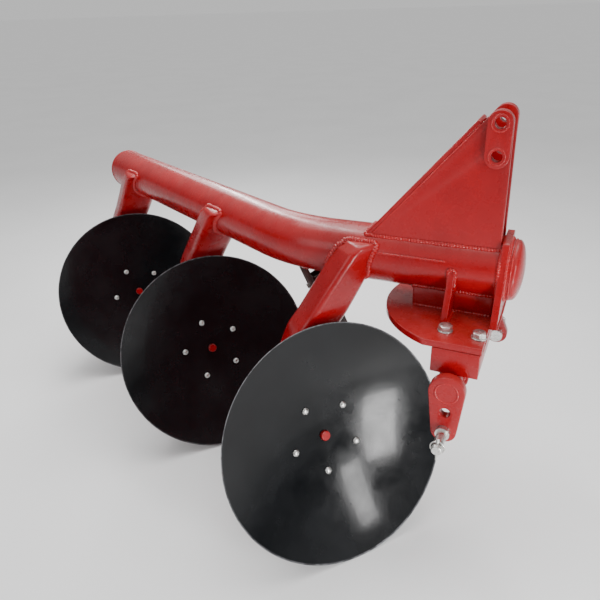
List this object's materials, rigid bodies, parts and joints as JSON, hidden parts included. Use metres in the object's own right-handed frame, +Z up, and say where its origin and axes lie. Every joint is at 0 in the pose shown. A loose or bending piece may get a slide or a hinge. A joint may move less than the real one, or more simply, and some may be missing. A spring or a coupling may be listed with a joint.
{
  "type": "three-furrow mounted disc plough",
  "caption": "Mounted disc plough: bent tube beam, three-point headstock, free-turning concave discs on arms, folding parking leg.",
  "frame": {"origin": "on the ground, below the middle of the machine's box as it is parked", "axes": "-Y is the direction of travel, +X is the plough's own left, +Z is up"},
  "size_m": [1.1504, 1.7759, 1.1545],
  "materials": {
    "red_paint": "glossy red enamel",
    "disc_black": "glossy black enamel",
    "zinc": "zinc plated"
  },
  "bodies": {
    "plough": {"arm_front": "red_paint", "arm_middle": "red_paint", "arm_rear": "red_paint", "beam_cap_front": "red_paint", "beam_cap_rear": "red_paint", "beam_saddle": "red_paint", "bearing_housing_front": "red_paint", "bearing_housing_middle": "red_paint", "bearing_housing_rear": "red_paint", "carrier_end_left": "red_paint", "carrier_end_right": "red_paint", "cross_shaft": "red_paint", "headstock_front_plate": "red_paint", "headstock_gusset_left": "red_paint", "headstock_gusset_right": "red_paint", "leg_bracket_left": "red_paint", "leg_bracket_right": "red_paint", "leg_pivot_pin": "zinc", "leg_stop_pin": "zinc", "linchpin_left": "zinc", "linchpin_right": "zinc", "lower_link_lug_left": "red_paint", "lower_link_lug_right": "red_paint", "lower_link_pin_left": "zinc", "lower_link_pin_right": "zinc", "main_beam": "red_paint", "mast_cover": "red_paint", "mast_plate_left": "red_paint", "mast_plate_right": "red_paint", "shaft_carrier": "red_paint", "shaft_clamp_left": "red_paint", "shaft_clamp_right": "red_paint", "top_link_ear_left": "red_paint", "top_link_ear_right": "red_paint", "turn_bolt_1": "zinc", "turn_bolt_2": "zinc", "turn_bolt_3": "zinc", "turn_bolt_4": "zinc", "turn_plate": "red_paint", "hub_cap_front": "red_paint", "hub_cap_middle": "red_paint", "hub_cap_rear": "red_paint"},
    "disc_unit_front": {"disc_front": "disc_black", "hub_front": "red_paint"},
    "disc_unit_middle": {"disc_middle": "disc_black", "hub_middle": "red_paint"},
    "disc_unit_rear": {"disc_rear": "disc_black", "hub_rear": "red_paint"},
    "leg": {"parking_leg": "red_paint"}
  },
  "joints": [
    {"name": "disc_front_spin", "type": "hinge", "parent": "plough", "child": "disc_unit_front", "pos_m": [-0.31, -0.5012, 0.30802], "axis": [-0.5948, -0.7193, 0.3589], "continuous": true},
    {"name": "disc_middle_spin", "type": "hinge", "parent": "plough", "child": "disc_unit_middle", "pos_m": [-0.01651, 0.05592, 0.30802], "axis": [-0.5948, -0.7193, 0.3589], "continuous": true},
    {"name": "disc_rear_spin", "type": "hinge", "parent": "plough", "child": "disc_unit_rear", "pos_m": [0.27698, 0.61305, 0.30802], "axis": [-0.5948, -0.7193, 0.3589], "continuous": true},
    {"name": "parking_leg_fold", "type": "hinge", "parent": "plough", "child": "leg", "pos_m": [0.0097, -0.3139, 0.63], "axis": [0.6857, -0.6174, 0.3857], "range_deg": [0, 90.1]}
  ]
}
